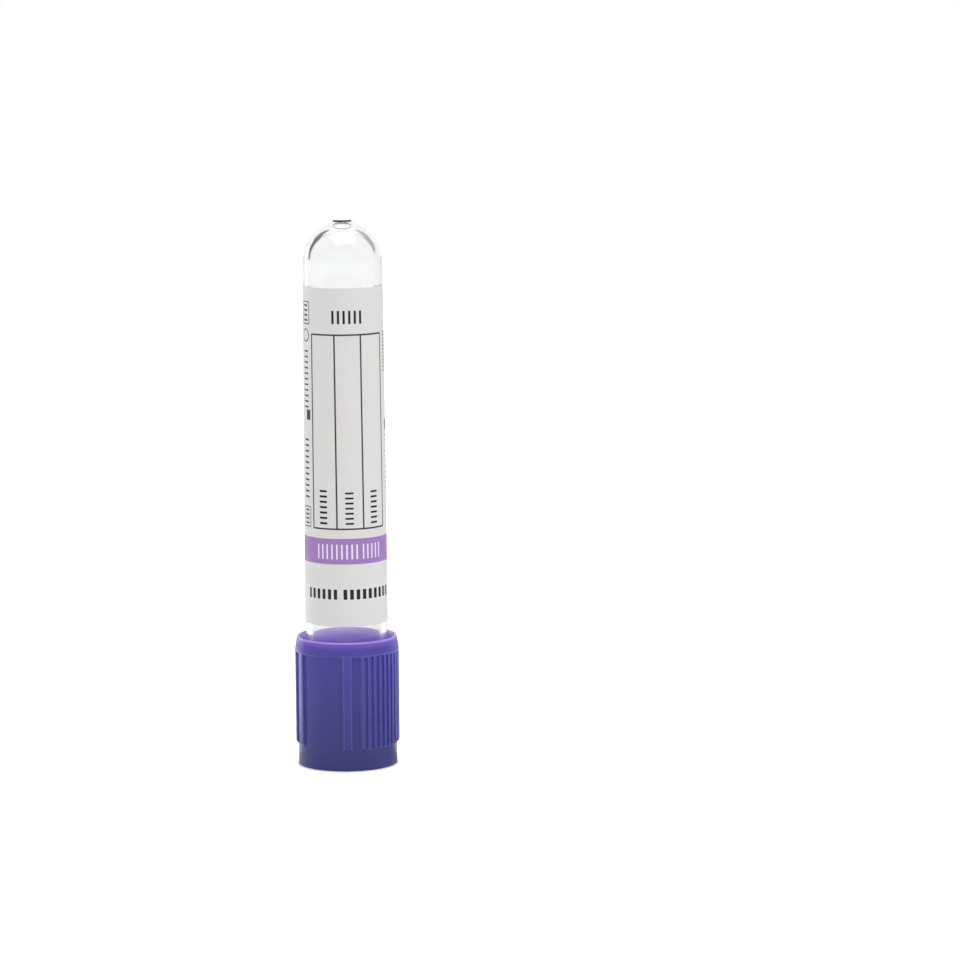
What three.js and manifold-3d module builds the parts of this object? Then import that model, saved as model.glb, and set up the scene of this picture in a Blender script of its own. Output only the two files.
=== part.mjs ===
// Blood collection tube, 13 x 75 mm, closed and standing upside down on its cap.
//
// A clear plastic tube with a round end carries a paper label and is stopped by a rubber stopper.
// A violet cap shell surrounds the stopper: a ledge inside the shell sits in the stopper's groove,
// and the shell's skirt reaches over the mouth of the tube.
//
// Millimetres, +Z up along the tube, origin on the axis at the shell's needle end, which is the
// face that the tube stands on. -Y is the front, where the printed form of the label is.

import * as THREE from 'three';
import { mergeVertices } from 'three/addons/utils/BufferGeometryUtils.js';
import Module from 'manifold-3d';

const wasm = await Module();
wasm.setup();

// ---------- driving dimensions ----------

// tube
const tubeLength = 75;
const tubeMouthDiameter = 13.0;
const tubeEndDiameter = 12.4; // where the round end begins: the moulding tapers
const tubeWall = 1.05;
const crownWall = 1.35; // at the middle of the round end
const tubeRimRadius = 0.3;
const gateDiameter = 3.0; // flat disc that the moulding gate leaves at the round end
const gateHeight = 0.08;

// stopper
const flangeOverhang = 0.38; // of the flange beyond the outside of the tube's mouth
const flangeHeight = 4.95;
const grooveDepth = 0.5;
const plugLength = 5.05;
const plugDraft = 0.1; // taken off the plug's radius at its free end
const plugEdge = 0.9;
const needleRecessDiameter = 6.5;
const needleRecessDepth = 4.6;
const needleRecessLip = 0.7;
const bloodRecessDiameter = 6.6;
const membraneThickness = 2.9;
const flangeEdge = 0.25; // rounding at the needle side
const flangeShoulder = 0.8; // rounding at the groove
const mouldMarks = 4; // small raised rings on the flange's needle side
const mouldMarkDiameter = 1.05;
const mouldMarkWidth = 0.18;
const mouldMarkHeight = 0.08;
const mouldMarkPlace = 0.62; // from the needle's recess towards the flange's edge, as a share
const mouldMarkTurn = 21; // the first ring, in degrees from the front

// cap shell
const needleEndDepth = 5.4; // from the shell's end face to the stopper
const shellWall = 0.84;
const ledgeThickness = 0.75;
const skirtLength = 9.3; // from the ledge to the rim
const skirtWall = 0.7;
const bandHeight = 2.4;
const bandProud = 0.42;
const bandTaper = 0.25; // taken off the band's radius towards the rim
const rimWall = 0.45;
const rimRound = 0.6; // height over which the rim's outside rounds in
const rimEdge = 0.18; // rounding of the rim's inside
const flareHeight = 2.6;
const endEdge = 0.15;
const ribProud = 0.4;
const ribEdge = 0.1;
const ribStart = 3.3; // height of the ribs' lower ends above the end face
const ribEndSlope = 0.4; // height over which a rib's end slopes out
const wideRibWidth = 1.27;
const narrowRibWidth = 0.5;
const narrowRibsPerSide = 12;
const panelAngle = 63.8; // between the two wide ribs that bound a smooth panel, in degrees
const ribGroupGap = 17.8; // from a wide rib to the first narrow one, in degrees
const shellTurn = -32.1; // the middle of a smooth panel, in degrees from the front

// label
const labelThickness = 0.08;
const labelFromMouth = 11.6;
const labelToRoundEnd = 3.94;
const labelWindow = 150; // clear strip left open at the back, in degrees

// clearances
const plugFit = 0.05; // plug in the tube's bore
const ledgeFit = 0.08; // ledge in the groove, at each face and at the neck
const flangeFit = 0.1; // flange in the shell's bore
const rimSeat = 0.07; // tube's rim above the ledge
const labelFit = 0.02; // label on the tube

// fineness
const facets = 72; // around the axis: every round piece shares them, so that clearances hold
const domeSteps = 11;
const filletSteps = 3;

// ---------- sizes that follow ----------

const tubeMouthRadius = tubeMouthDiameter / 2;
const domeRadius = tubeEndDiameter / 2;
const plugRadius = tubeMouthRadius - tubeWall - plugFit;
const neckRadius = plugRadius - grooveDepth;
const flangeRadius = tubeMouthRadius + flangeOverhang;
const shellBore = flangeRadius + flangeFit;
const shellRadius = shellBore + shellWall;
const skirtBore = shellRadius - skirtWall;
const bandRadius = shellRadius + bandProud;
const rimRadius = bandRadius - bandTaper;
const mouthBore = rimRadius - rimWall;

const flangeBottom = needleEndDepth;
const grooveBottom = flangeBottom + flangeHeight;
const ledgeBottom = grooveBottom + ledgeFit;
const ledgeTop = ledgeBottom + ledgeThickness;
const plugBottom = ledgeTop + ledgeFit;
const plugTop = plugBottom + plugLength;
const capHeight = ledgeTop + skirtLength;
const bandBottom = capHeight - bandHeight;
const tubeMouth = ledgeTop + rimSeat;
const tubeTop = tubeMouth + tubeLength;
const domeCentre = tubeTop - gateHeight - domeRadius;

// ---------- helpers ----------

const degrees = Math.PI / 180;

/** Radius of the tube's outside at height z, on its straight taper. */
function tubeRadiusAt(z) {
  const share = (z - tubeMouth) / (domeCentre - tubeMouth);
  return THREE.MathUtils.lerp(tubeMouthRadius, domeRadius, share);
}

/** Points on a quarter of an ellipse about (r, z), from angle a to angle b, both ends included. */
function arc(r, z, halfWidth, halfHeight, a, b, steps = filletSteps) {
  return Array.from({ length: steps + 1 }, (_, i) => {
    const t = THREE.MathUtils.lerp(a, b, i / steps) * degrees;
    return [r + halfWidth * Math.cos(t), z + halfHeight * Math.sin(t)];
  });
}

/** A closed three.js geometry as a manifold solid, with its shared vertices merged. */
function toSolid(geometry) {
  geometry.deleteAttribute('normal');
  geometry.deleteAttribute('uv');
  const merged = mergeVertices(geometry, 1e-5);
  const corners = Array.from(merged.index.array);
  const triangles = [];
  for (let i = 0; i < corners.length; i += 3) {
    const [a, b, c] = corners.slice(i, i + 3);
    if (a !== b && b !== c && c !== a) triangles.push(a, b, c);
  }
  return new wasm.Manifold(new wasm.Mesh({
    numProp: 3,
    vertProperties: Float32Array.from(merged.attributes.position.array),
    triVerts: Uint32Array.from(triangles),
  }));
}

/** A solid of revolution about Z, from a profile of [radius, height] points that runs
 *  anticlockwise, which ends on the axis or closes on itself. */
function turned(profile, segments = facets) {
  const points = profile.map(([r, z]) => new THREE.Vector2(r, z));
  if (points[0].x > 0) points.push(points[0].clone());
  return toSolid(new THREE.LatheGeometry(points, segments).rotateX(Math.PI / 2));
}

/** The point at an angle from the front, in degrees towards +X, and a distance from the axis. */
function around(angle, radius) {
  return [radius * Math.sin(angle * degrees), -radius * Math.cos(angle * degrees)];
}

/** A prism standing on height z, from an outline of [x, y] points. */
function prism(outline, z, height) {
  const shape = new THREE.Shape(outline.map(([x, y]) => new THREE.Vector2(x, y)));
  const geometry = new THREE.ExtrudeGeometry(shape, { depth: height, bevelEnabled: false });
  return toSolid(geometry.translate(0, 0, z));
}

/** A named mesh of a manifold solid, with its own material. */
function piece(name, solid, color, roughness, extra = {}) {
  const { vertProperties, triVerts } = solid.getMesh();
  const geometry = new THREE.BufferGeometry();
  geometry.setAttribute('position', new THREE.BufferAttribute(Float32Array.from(vertProperties), 3));
  geometry.setIndex(new THREE.BufferAttribute(Uint32Array.from(triVerts), 1));
  geometry.computeVertexNormals();
  const material = new THREE.MeshStandardMaterial({ color, roughness, metalness: 0, ...extra });
  const mesh = new THREE.Mesh(geometry, material);
  mesh.name = name;
  return mesh;
}

// ---------- pieces ----------

/** The moulded tube: open at its mouth below, round at its upper end, with the flat gate disc. */
function tube() {
  const gateRadius = gateDiameter / 2;
  const gateAngle = Math.acos(gateRadius / domeRadius) / degrees;
  const edge = tubeRimRadius;
  const outer = [
    ...arc(tubeMouthRadius - edge, tubeMouth + edge, edge, edge, -90, 0),
    ...arc(0, domeCentre, domeRadius, domeRadius, 0, gateAngle, domeSteps),
    [gateRadius, tubeTop],
    [0, tubeTop],
  ];
  const bore = tubeMouthRadius - tubeWall;
  const inner = [
    ...arc(0, domeCentre, domeRadius - tubeWall, domeRadius - crownWall, 90, 0, domeSteps),
    ...arc(bore + edge, tubeMouth + edge, edge, edge, 180, 270),
  ];
  return piece('tube', turned([...outer, ...inner]), '#eef2f3', 0.08,
    { transparent: true, opacity: 0.35 });
}

/** The paper label: a thin sleeve on the tube's taper, with a clear window at the back. */
function label() {
  const low = tubeMouth + labelFromMouth;
  const high = domeCentre - labelToRoundEnd;
  const sleeve = turned([
    [tubeRadiusAt(low) + labelFit, low],
    [tubeRadiusAt(low) + labelFit + labelThickness, low],
    [tubeRadiusAt(high) + labelFit + labelThickness, high],
    [tubeRadiusAt(high) + labelFit, high],
  ]);
  const facet = 360 / facets;
  const halfWindow = facet * Math.round(labelWindow / facet / 2);
  const reach = 2 * tubeMouthRadius;
  const wedge = [[0, 0], around(180 + halfWindow, reach), around(180, reach),
    around(180 - halfWindow, reach)];
  const window = prism(wedge, low - 1, high - low + 2);
  return piece('label', sleeve.subtract(window), '#dad8d6', 0.6);
}

/** The rubber stopper: flange below with the needle's recess, groove, and the plug in the tube. */
function stopper() {
  const needleRadius = needleRecessDiameter / 2;
  const bloodRadius = bloodRecessDiameter / 2;
  const lip = needleRecessLip;
  const recessFloor = flangeBottom + needleRecessDepth;
  const membraneTop = recessFloor + membraneThickness;
  const freeRadius = plugRadius - plugDraft;
  const wall = (freeRadius - bloodRadius) / 2;
  const edge = Math.min(plugEdge, wall);
  const shoulder = { r: flangeRadius - flangeShoulder, z: grooveBottom - flangeShoulder };
  const profile = [
    [0, recessFloor],
    [needleRadius, recessFloor],
    ...arc(needleRadius + lip, flangeBottom + lip, lip, lip, 180, 270),
    ...arc(flangeRadius - flangeEdge, flangeBottom + flangeEdge, flangeEdge, flangeEdge, -90, 0),
    ...arc(shoulder.r, shoulder.z, flangeShoulder, flangeShoulder, 0, 90, 4),
    [neckRadius, grooveBottom],
    [neckRadius, plugBottom],
    [plugRadius, plugBottom],
    ...arc(freeRadius - edge, plugTop - edge, edge, edge, 0, 90),
    [bloodRadius + edge / 2, plugTop],
    [bloodRadius, plugTop - edge / 2],
    [bloodRadius, membraneTop],
    [0, membraneTop],
  ];
  const markRadius = mouldMarkDiameter / 2;
  const mark = turned([
    [markRadius - mouldMarkWidth, flangeBottom - mouldMarkHeight],
    [markRadius, flangeBottom - mouldMarkHeight],
    [markRadius, flangeBottom + mouldMarkHeight],
    [markRadius - mouldMarkWidth, flangeBottom + mouldMarkHeight],
  ], 16);
  const markPlace = THREE.MathUtils.lerp(needleRadius, flangeRadius, mouldMarkPlace);
  let solid = turned(profile);
  for (let i = 0; i < mouldMarks; i += 1) {
    const [x, y] = around(mouldMarkTurn + (i * 360) / mouldMarks, markPlace);
    solid = solid.add(mark.translate([x, y, 0]));
  }
  return piece('rubber_stopper', solid, '#3a3c40', 0.75);
}

/** One rib of the shell, from its sloping lower end up into the band. */
function rib(angle, width) {
  const top = shellRadius + ribProud;
  const half = width / 2;
  const section = [
    [-half, shellRadius - skirtWall / 2],
    [-half, top - ribEdge],
    [-half + ribEdge, top],
    [half - ribEdge, top],
    [half, top - ribEdge],
    [half, shellRadius - skirtWall / 2],
  ];
  const [outX, outY] = around(angle, 1);
  const outline = section.map(([side, out]) => [out * outX - side * outY, out * outY + side * outX]);
  return prism(outline.reverse(), ribStart, bandBottom - ribStart + bandHeight / 10);
}

/** The cap shell: open at both ends, with the ledge inside and the ribs and band outside. */
function capShell() {
  const wall = turned([
    ...arc(shellRadius - endEdge, endEdge, endEdge, endEdge, -90, 0),
    [shellRadius, bandBottom - bandProud / 4],
    [bandRadius - bandProud / 4, bandBottom],
    [bandRadius, bandBottom + bandProud / 4],
    ...arc(mouthBore + rimEdge, capHeight - rimRound, rimWall - rimEdge, rimRound, 0, 90, 4),
    ...arc(mouthBore + rimEdge, capHeight - rimEdge, rimEdge, rimEdge, 90, 180).slice(1),
    [skirtBore, capHeight - flareHeight],
    [skirtBore, ledgeTop],
    [neckRadius + ledgeFit, ledgeTop],
    [neckRadius + ledgeFit, ledgeBottom],
    [shellBore, ledgeBottom],
    [shellBore, endEdge],
    [shellBore + endEdge / 2, 0],
  ]);
  const slope = turned([
    [0, ribStart],
    [shellRadius, ribStart],
    [shellRadius + 2 * ribProud, ribStart + 2 * ribEndSlope],
    [shellRadius + 2 * ribProud, capHeight],
    [0, capHeight],
  ]);
  const pitch = (180 - panelAngle - 2 * ribGroupGap) / (narrowRibsPerSide - 1);
  const ribs = [];
  for (const side of [0, 180]) {
    const middle = shellTurn + side;
    ribs.push(rib(middle - panelAngle / 2, wideRibWidth));
    ribs.push(rib(middle + panelAngle / 2, wideRibWidth));
    for (let i = 0; i < narrowRibsPerSide; i += 1) {
      ribs.push(rib(middle + panelAngle / 2 + ribGroupGap + i * pitch, narrowRibWidth));
    }
  }
  const ribbed = ribs.reduce((solid, next) => solid.add(next.intersect(slope)), wall);
  return piece('cap_shell', ribbed, '#524d96', 0.4);
}

const bloodCollectionTube = new THREE.Group();
bloodCollectionTube.add(capShell(), stopper(), tube(), label());

export default bloodCollectionTube;
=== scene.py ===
"""The looks of a closed blood collection tube that stands upside down on its cap.

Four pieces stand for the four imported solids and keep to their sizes: the clear moulded tube, its
printed paper label, the violet cap shell with its grip ribs, and the rubber stopper inside. Each is a
surface worked out on a grid of two parameters: the angle round the tube's axis, and the way along a
section. Sizes are in millimetres, taken from the frame where it has them, and become metres when a
mesh is made. Angles are in degrees from the front, which is -Y, and grow towards +X.
"""

import math

import bpy
import numpy as np
from mathutils import Matrix, Vector


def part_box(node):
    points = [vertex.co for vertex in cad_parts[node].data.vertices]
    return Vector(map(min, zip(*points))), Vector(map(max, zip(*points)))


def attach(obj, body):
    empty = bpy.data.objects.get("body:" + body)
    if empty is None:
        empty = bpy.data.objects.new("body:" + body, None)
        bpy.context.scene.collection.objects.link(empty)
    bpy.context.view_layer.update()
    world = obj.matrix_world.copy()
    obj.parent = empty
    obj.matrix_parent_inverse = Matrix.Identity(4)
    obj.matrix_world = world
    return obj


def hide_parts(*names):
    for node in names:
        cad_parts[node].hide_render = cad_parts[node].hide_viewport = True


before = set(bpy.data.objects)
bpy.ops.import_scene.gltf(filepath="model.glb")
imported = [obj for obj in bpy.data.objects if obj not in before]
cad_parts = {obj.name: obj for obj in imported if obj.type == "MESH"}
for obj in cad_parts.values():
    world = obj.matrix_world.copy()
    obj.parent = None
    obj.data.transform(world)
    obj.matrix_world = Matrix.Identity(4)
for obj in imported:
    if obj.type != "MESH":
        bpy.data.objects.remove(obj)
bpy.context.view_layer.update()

MM = 0.001


# ---------- sizes ----------


def corners(node):
    """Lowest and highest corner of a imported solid, in millimetres."""
    low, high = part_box(node)
    return low / MM, high / MM


tube_low, tube_high = corners("tube")
label_low, label_high = corners("label")
cap_low, cap_high = corners("cap_shell")
stopper_low, stopper_high = corners("rubber_stopper")

# tube
TUBE_MOUTH = tube_low.z
TUBE_TOP = tube_high.z
TUBE_MOUTH_RADIUS = tube_high.x
TUBE_END_RADIUS = 6.2
TUBE_WALL = 1.05
CROWN_WALL = 1.35
TUBE_RIM_EDGE = 0.3
GATE_RADIUS = 1.5
GATE_HEIGHT = 0.08
GATE_EDGE = 0.05
DOME_CENTRE = TUBE_TOP - GATE_HEIGHT - TUBE_END_RADIUS

# label
LABEL_THICKNESS = 0.08
LABEL_WINDOW = 150
LABEL_CORNER = 0.9

# clearances
PLUG_FIT = 0.05  # the plug in the tube's bore
LEDGE_FIT = 0.08  # the shell's ledge in the stopper's groove
FLANGE_FIT = 0.1  # the flange in the shell's bore

# stopper
MARK_HEIGHT = 0.08
FLANGE_BOTTOM = stopper_low.z + MARK_HEIGHT
FLANGE_HEIGHT = 4.95
FLANGE_RADIUS = stopper_high.x
FLANGE_EDGE = 0.25
FLANGE_SHOULDER = 0.8
PLUG_TOP = stopper_high.z
PLUG_LENGTH = 5.05
PLUG_RADIUS = TUBE_MOUTH_RADIUS - TUBE_WALL - PLUG_FIT
PLUG_DRAFT = 0.1
PLUG_EDGE = 0.9
PLUG_FOOT_EDGE = 0.15
GROOVE_DEPTH = 0.5
GROOVE_FILLET = 0.1
NECK_RADIUS = PLUG_RADIUS - GROOVE_DEPTH
NEEDLE_RECESS_RADIUS = 3.25
NEEDLE_RECESS_DEPTH = 4.6
NEEDLE_RECESS_LIP = 0.7
BLOOD_RECESS_RADIUS = 3.3
RECESS_FILLET = 0.4
MEMBRANE = 2.9
SEAM_HEIGHT = 1.05  # of the mould's seam, above the flange's needle side
SEAM_DEPTH = 0.04
SEAM_REACH = 0.05  # from the seam's middle to its edges
MARK_RING_RADIUS = 0.435
MARK_PLACE = 0.62  # share of the way from the needle recess to the flange's edge
MARK_SINK = 0.01  # how deep the middle of a mark's round section lies in the flange
MARK_TURN = 21
MARK_COUNT = 4

# cap shell
CAP_HEIGHT = cap_high.z
BAND_RADIUS = cap_high.x
BAND_HEIGHT = 2.4
BAND_BOTTOM = CAP_HEIGHT - BAND_HEIGHT
BAND_PROUD = 0.42
BAND_TAPER = 0.25
BAND_EDGE = 0.26
BAND_FILLET = 0.12  # where the wall meets the band from below
SHELL_RADIUS = BAND_RADIUS - BAND_PROUD
SHELL_BORE = FLANGE_RADIUS + FLANGE_FIT
SKIRT_WALL = 0.7
RIM_WALL = 0.45
RIM_ROUND = 0.6
RIM_EDGE = 0.18
FLARE_HEIGHT = 2.6
END_EDGE = 0.15
LEDGE_THICKNESS = 0.75
LEDGE_EDGE = 0.15
LEDGE_FILLET = 0.2  # where the ledge meets the skirt
LEDGE_BOTTOM = FLANGE_BOTTOM + FLANGE_HEIGHT + LEDGE_FIT
LEDGE_TOP = LEDGE_BOTTOM + LEDGE_THICKNESS
RIB_PROUD = 0.4
RIB_START = 3.3
RIB_END_SLOPE = 0.4
RIB_SINK = 0.3  # how far the ribs run up into the band
WIDE_RIB = 1.27
NARROW_RIB = 0.5
WIDE_EDGE = 0.12
NARROW_EDGE = 0.16
RIB_FOOT = 0.1
RIB_LEAN = 0.004  # how far out a rib's side runs from its edge down to its foot
NARROW_RIBS_PER_SIDE = 12
PANEL_ANGLE = 63.8
RIB_GROUP_GAP = 17.8
SHELL_TURN = -32.1

# painted light on the violet plastic: 0 plain, 1 lit through, 2 brightest; painted highlights on the
# ribs' edges and faces, painted light in the gaps, band and skirt
WIDE_PALE = 0.16
NARROW_PALE = 0.13
RIB_FACE_PALE = 0.03
# painted light that lifts the shade in the gaps between the ribs
GAP_PALE = 0.22
BAND_PALE = 0.4
SKIRT_PALE = 0.5

# fineness
TURNS = 256
STOPPER_TURNS = 192
WALL_STEP = 1.2  # degrees between the columns of the shell's plain wall
RIB_MARGIN = 0.4  # degrees left free beside a rib


# ---------- sections and surfaces ----------


def arc(radius, height, half_width, half_height, start, end, steps=6):
    """Points [radius, height] on an ellipse: the centre plus the half sizes times cosine and sine."""
    t = np.radians(np.linspace(start, end, steps + 1))
    return np.column_stack([radius + half_width * np.cos(t), height + half_height * np.sin(t)])


def stretch(start, end, steps):
    """Points on the straight line between two points, without the two themselves.

    They are evenly spaced, and one more lies close to each end, which keeps the shading of a rounded
    edge off the straight part.
    """
    length = math.dist(start, end)
    near = min(0.04, length / 4) / length
    share = np.concatenate([[near], np.linspace(0, 1, steps + 1)[1:-1], [1 - near]])[:, None]
    return (1 - share) * np.array(start) + share * np.array(end)


def tube_radius(height):
    """Outside radius of the moulded tube: a straight taper from the mouth to the round end."""
    share = (height - TUBE_MOUTH) / (DOME_CENTRE - TUBE_MOUTH)
    return TUBE_MOUTH_RADIUS + share * (TUBE_END_RADIUS - TUBE_MOUTH_RADIUS)


def around(radius, height, angle):
    """Places [x, y, z] at a radius, a height and an angle round the axis, as one array of rows."""
    turn = np.radians(angle)
    radius, height, turn = np.broadcast_arrays(radius, height, turn)
    places = np.stack([radius * np.sin(turn), -radius * np.cos(turn), height], axis=-1)
    return places.reshape(-1, 3)


def lattice(rows, columns, wrap_rows, wrap_columns):
    """Four-sided faces over a grid of rows x columns places, joined back to the start where it wraps."""
    i = np.arange(rows if wrap_rows else rows - 1)[:, None]
    j = np.arange(columns if wrap_columns else columns - 1)[None, :]
    up = (i + 1) % rows
    on = (j + 1) % columns
    faces = np.stack(np.broadcast_arrays(i * columns + j, i * columns + on, up * columns + on,
                                         up * columns + j), axis=-1)
    return faces.reshape(-1, 4)


def fan(ring, pole, upwards):
    """Triangles from a ring of place numbers to a single place, facing up or down."""
    following = np.roll(ring, -1)
    tip = np.full_like(ring, pole)
    sides = (ring, following, tip) if upwards else (following, ring, tip)
    return np.stack(sides, axis=-1)


def turned(profile, turns=TURNS):
    """Places and faces of a section [radius, height] turned round the axis.

    The section runs from a point on the axis to another, or closes on itself. A point on the axis
    becomes one place with a fan of triangles.
    """
    poled = profile[0, 0] == 0
    rings = profile[1:-1] if poled else profile
    angles = np.arange(turns) * 360 / turns
    places = around(rings[:, :1], rings[:, 1:], angles[None, :])
    faces = lattice(len(rings), turns, not poled, True).tolist()
    if poled:
        ring = np.arange(turns)
        last = (len(rings) - 1) * turns
        places = np.vstack([places, [[0, 0, profile[0, 1]], [0, 0, profile[-1, 1]]]])
        faces += fan(ring, len(places) - 2, False).tolist()
        faces += fan(ring + last, len(places) - 1, True).tolist()
    return places, faces


def make_piece(name, places, faces, materials, body, node, sharp_angle=40):
    """A mesh object in metres at the origin, smooth but for its sharp edges, that stands for a node."""
    mesh = bpy.data.meshes.new(name)
    mesh.from_pydata((places * MM).tolist(), [], faces)
    mesh.validate()
    mesh.polygons.foreach_set("use_smooth", np.ones(len(mesh.polygons), dtype=bool))
    mesh.set_sharp_from_angle(angle=math.radians(sharp_angle))
    mesh.update()
    piece = bpy.data.objects.new(name, mesh)
    bpy.context.scene.collection.objects.link(piece)
    for material in materials:
        mesh.materials.append(material)
    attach(piece, body)
    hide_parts(node)
    return piece


# ---------- node helpers ----------


def srgb(red, green, blue):
    """Linear colour of three display values from 0 to 1."""
    display = np.array([red, green, blue])
    linear = np.where(display <= 0.04045, display / 12.92, ((display + 0.055) / 1.055) ** 2.4)
    return (*linear.tolist(), 1.0)


def grey(level):
    """Linear grey of one brightness."""
    return level, level, level, 1.0


class Nodes:
    """Adds nodes to one tree. An input is a plain value, which is set, or a socket, which is linked."""

    def __init__(self, tree):
        self.tree = tree
        self.output = None

    def add(self, kind, inputs=None, **settings):
        node = self.tree.nodes.new(kind)
        for name, value in settings.items():
            setattr(node, name, value)
        for name, value in (inputs or {}).items():
            self.put(node.inputs[name], value)
        return node

    def put(self, socket, value):
        if isinstance(value, bpy.types.NodeSocket):
            self.tree.links.new(value, socket)
        else:
            socket.default_value = value

    def math(self, operation, *values):
        """One Math node: its result for the given values or sockets."""
        node = self.add("ShaderNodeMath", operation=operation)
        for socket, value in zip(node.inputs, values):
            self.put(socket, value)
        return node.outputs[0]

    def ramp(self, value, low, high, to_low=0.0, to_high=1.0, smooth=True):
        """The value carried from low..high to to_low..to_high, held at both ends."""
        kind = "SMOOTHSTEP" if smooth else "LINEAR"
        node = self.add("ShaderNodeMapRange", interpolation_type=kind)
        for name, number in zip(("Value", "From Min", "From Max", "To Min", "To Max"),
                                (value, low, high, to_low, to_high)):
            self.put(node.inputs[name], number)
        return node.outputs["Result"]

    def mix(self, share, first, second):
        """Two colours mixed by a share."""
        node = self.add("ShaderNodeMix", data_type="RGBA")
        self.put(node.inputs["Factor"], share)
        self.put(node.inputs[6], first)
        self.put(node.inputs[7], second)
        return node.outputs[2]

    def place(self):
        """Object coordinates, and their three parts in millimetres."""
        coordinates = self.add("ShaderNodeTexCoord").outputs["Object"]
        scaled = self.add("ShaderNodeVectorMath", operation="SCALE")
        self.put(scaled.inputs[0], coordinates)
        self.put(scaled.inputs["Scale"], 1 / MM)
        parts = self.add("ShaderNodeSeparateXYZ", {"Vector": scaled.outputs[0]})
        return scaled.outputs[0], parts.outputs["X"], parts.outputs["Y"], parts.outputs["Z"]

    def noise(self, vector, scale, detail=3.0, roughness=0.5):
        """Smooth noise from 0 to 1 at a scale in cycles per millimetre."""
        node = self.add("ShaderNodeTexNoise", {"Vector": vector, "Scale": scale, "Detail": detail,
                                               "Roughness": roughness})
        return node.outputs["Fac"]

    def bump(self, height, depth):
        """A normal raised by the height from 0 to 1, times a depth in millimetres."""
        node = self.add("ShaderNodeBump", {"Height": height, "Distance": depth * MM, "Strength": 1.0})
        return node.outputs["Normal"]


def new_material(name):
    """An empty node material: its nodes helper, its shader and the material."""
    material = bpy.data.materials.new(name)
    material.use_nodes = True
    tree = material.node_tree
    tree.nodes.clear()
    nodes = Nodes(tree)
    shader = nodes.add("ShaderNodeBsdfPrincipled")
    nodes.output = nodes.add("ShaderNodeOutputMaterial", {"Surface": shader.outputs["BSDF"]})
    return nodes, shader, material


# ---------- the print on the label ----------

LABEL_MIDDLE_RADIUS = 6.45
PRINT_SOFTNESS = 0.02
SOLID = 100.0  # a line this thick fills its shape
INK = srgb(0.09, 0.09, 0.09)
LINE_INK = srgb(0.22, 0.22, 0.21)
VIOLET_INK = srgb(0.645, 0.49, 0.745)
WHITE_INK = srgb(0.95, 0.88, 0.98)


def block_row_group():
    """A node group: ink from 0 to 1 of a row of like round-cornered blocks.

    The way along the row is moved to the middle of the nearest block, which gives the distance to that
    block's edge: outside it the hypotenuse of both overhangs, inside it the larger one. A line
    thickness turns a filled block into an outline.
    """
    tree = bpy.data.node_groups.new("block_row", "ShaderNodeTree")
    numbers = ("Along", "Across", "Start", "Pitch", "Count", "Half Length", "Middle", "Half Height",
               "Corner", "Line")
    for name in numbers:
        tree.interface.new_socket(name, in_out="INPUT", socket_type="NodeSocketFloat")
    tree.interface.new_socket("Ink", in_out="OUTPUT", socket_type="NodeSocketFloat")
    nodes = Nodes(tree)
    given = nodes.add("NodeGroupInput").outputs
    along = nodes.math("SUBTRACT", given["Along"], given["Start"])
    number = nodes.math("ROUND", nodes.math("DIVIDE", along, given["Pitch"]))
    last = nodes.math("SUBTRACT", given["Count"], 1)
    number = nodes.math("MINIMUM", nodes.math("MAXIMUM", number, 0), last)
    along = nodes.math("ABSOLUTE", nodes.math("SUBTRACT", along, nodes.math("MULTIPLY", number,
                                                                           given["Pitch"])))
    across = nodes.math("ABSOLUTE", nodes.math("SUBTRACT", given["Across"], given["Middle"]))
    along = nodes.math("ADD", nodes.math("SUBTRACT", along, given["Half Length"]), given["Corner"])
    across = nodes.math("ADD", nodes.math("SUBTRACT", across, given["Half Height"]), given["Corner"])
    outside_along = nodes.math("MULTIPLY", nodes.math("MAXIMUM", along, 0),
                               nodes.math("MAXIMUM", along, 0))
    outside_across = nodes.math("MULTIPLY", nodes.math("MAXIMUM", across, 0),
                                nodes.math("MAXIMUM", across, 0))
    outside = nodes.math("SQRT", nodes.math("ADD", outside_along, outside_across))
    inside = nodes.math("MINIMUM", nodes.math("MAXIMUM", along, across), 0)
    edge = nodes.math("SUBTRACT", nodes.math("ADD", outside, inside), given["Corner"])
    half_line = nodes.math("DIVIDE", given["Line"], 2)
    edge = nodes.math("SUBTRACT", nodes.math("ABSOLUTE", nodes.math("ADD", edge, half_line)), half_line)
    ink = nodes.ramp(edge, -PRINT_SOFTNESS, PRINT_SOFTNESS, 1.0, 0.0)
    nodes.add("NodeGroupOutput", {"Ink": ink})
    return tree


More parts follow.
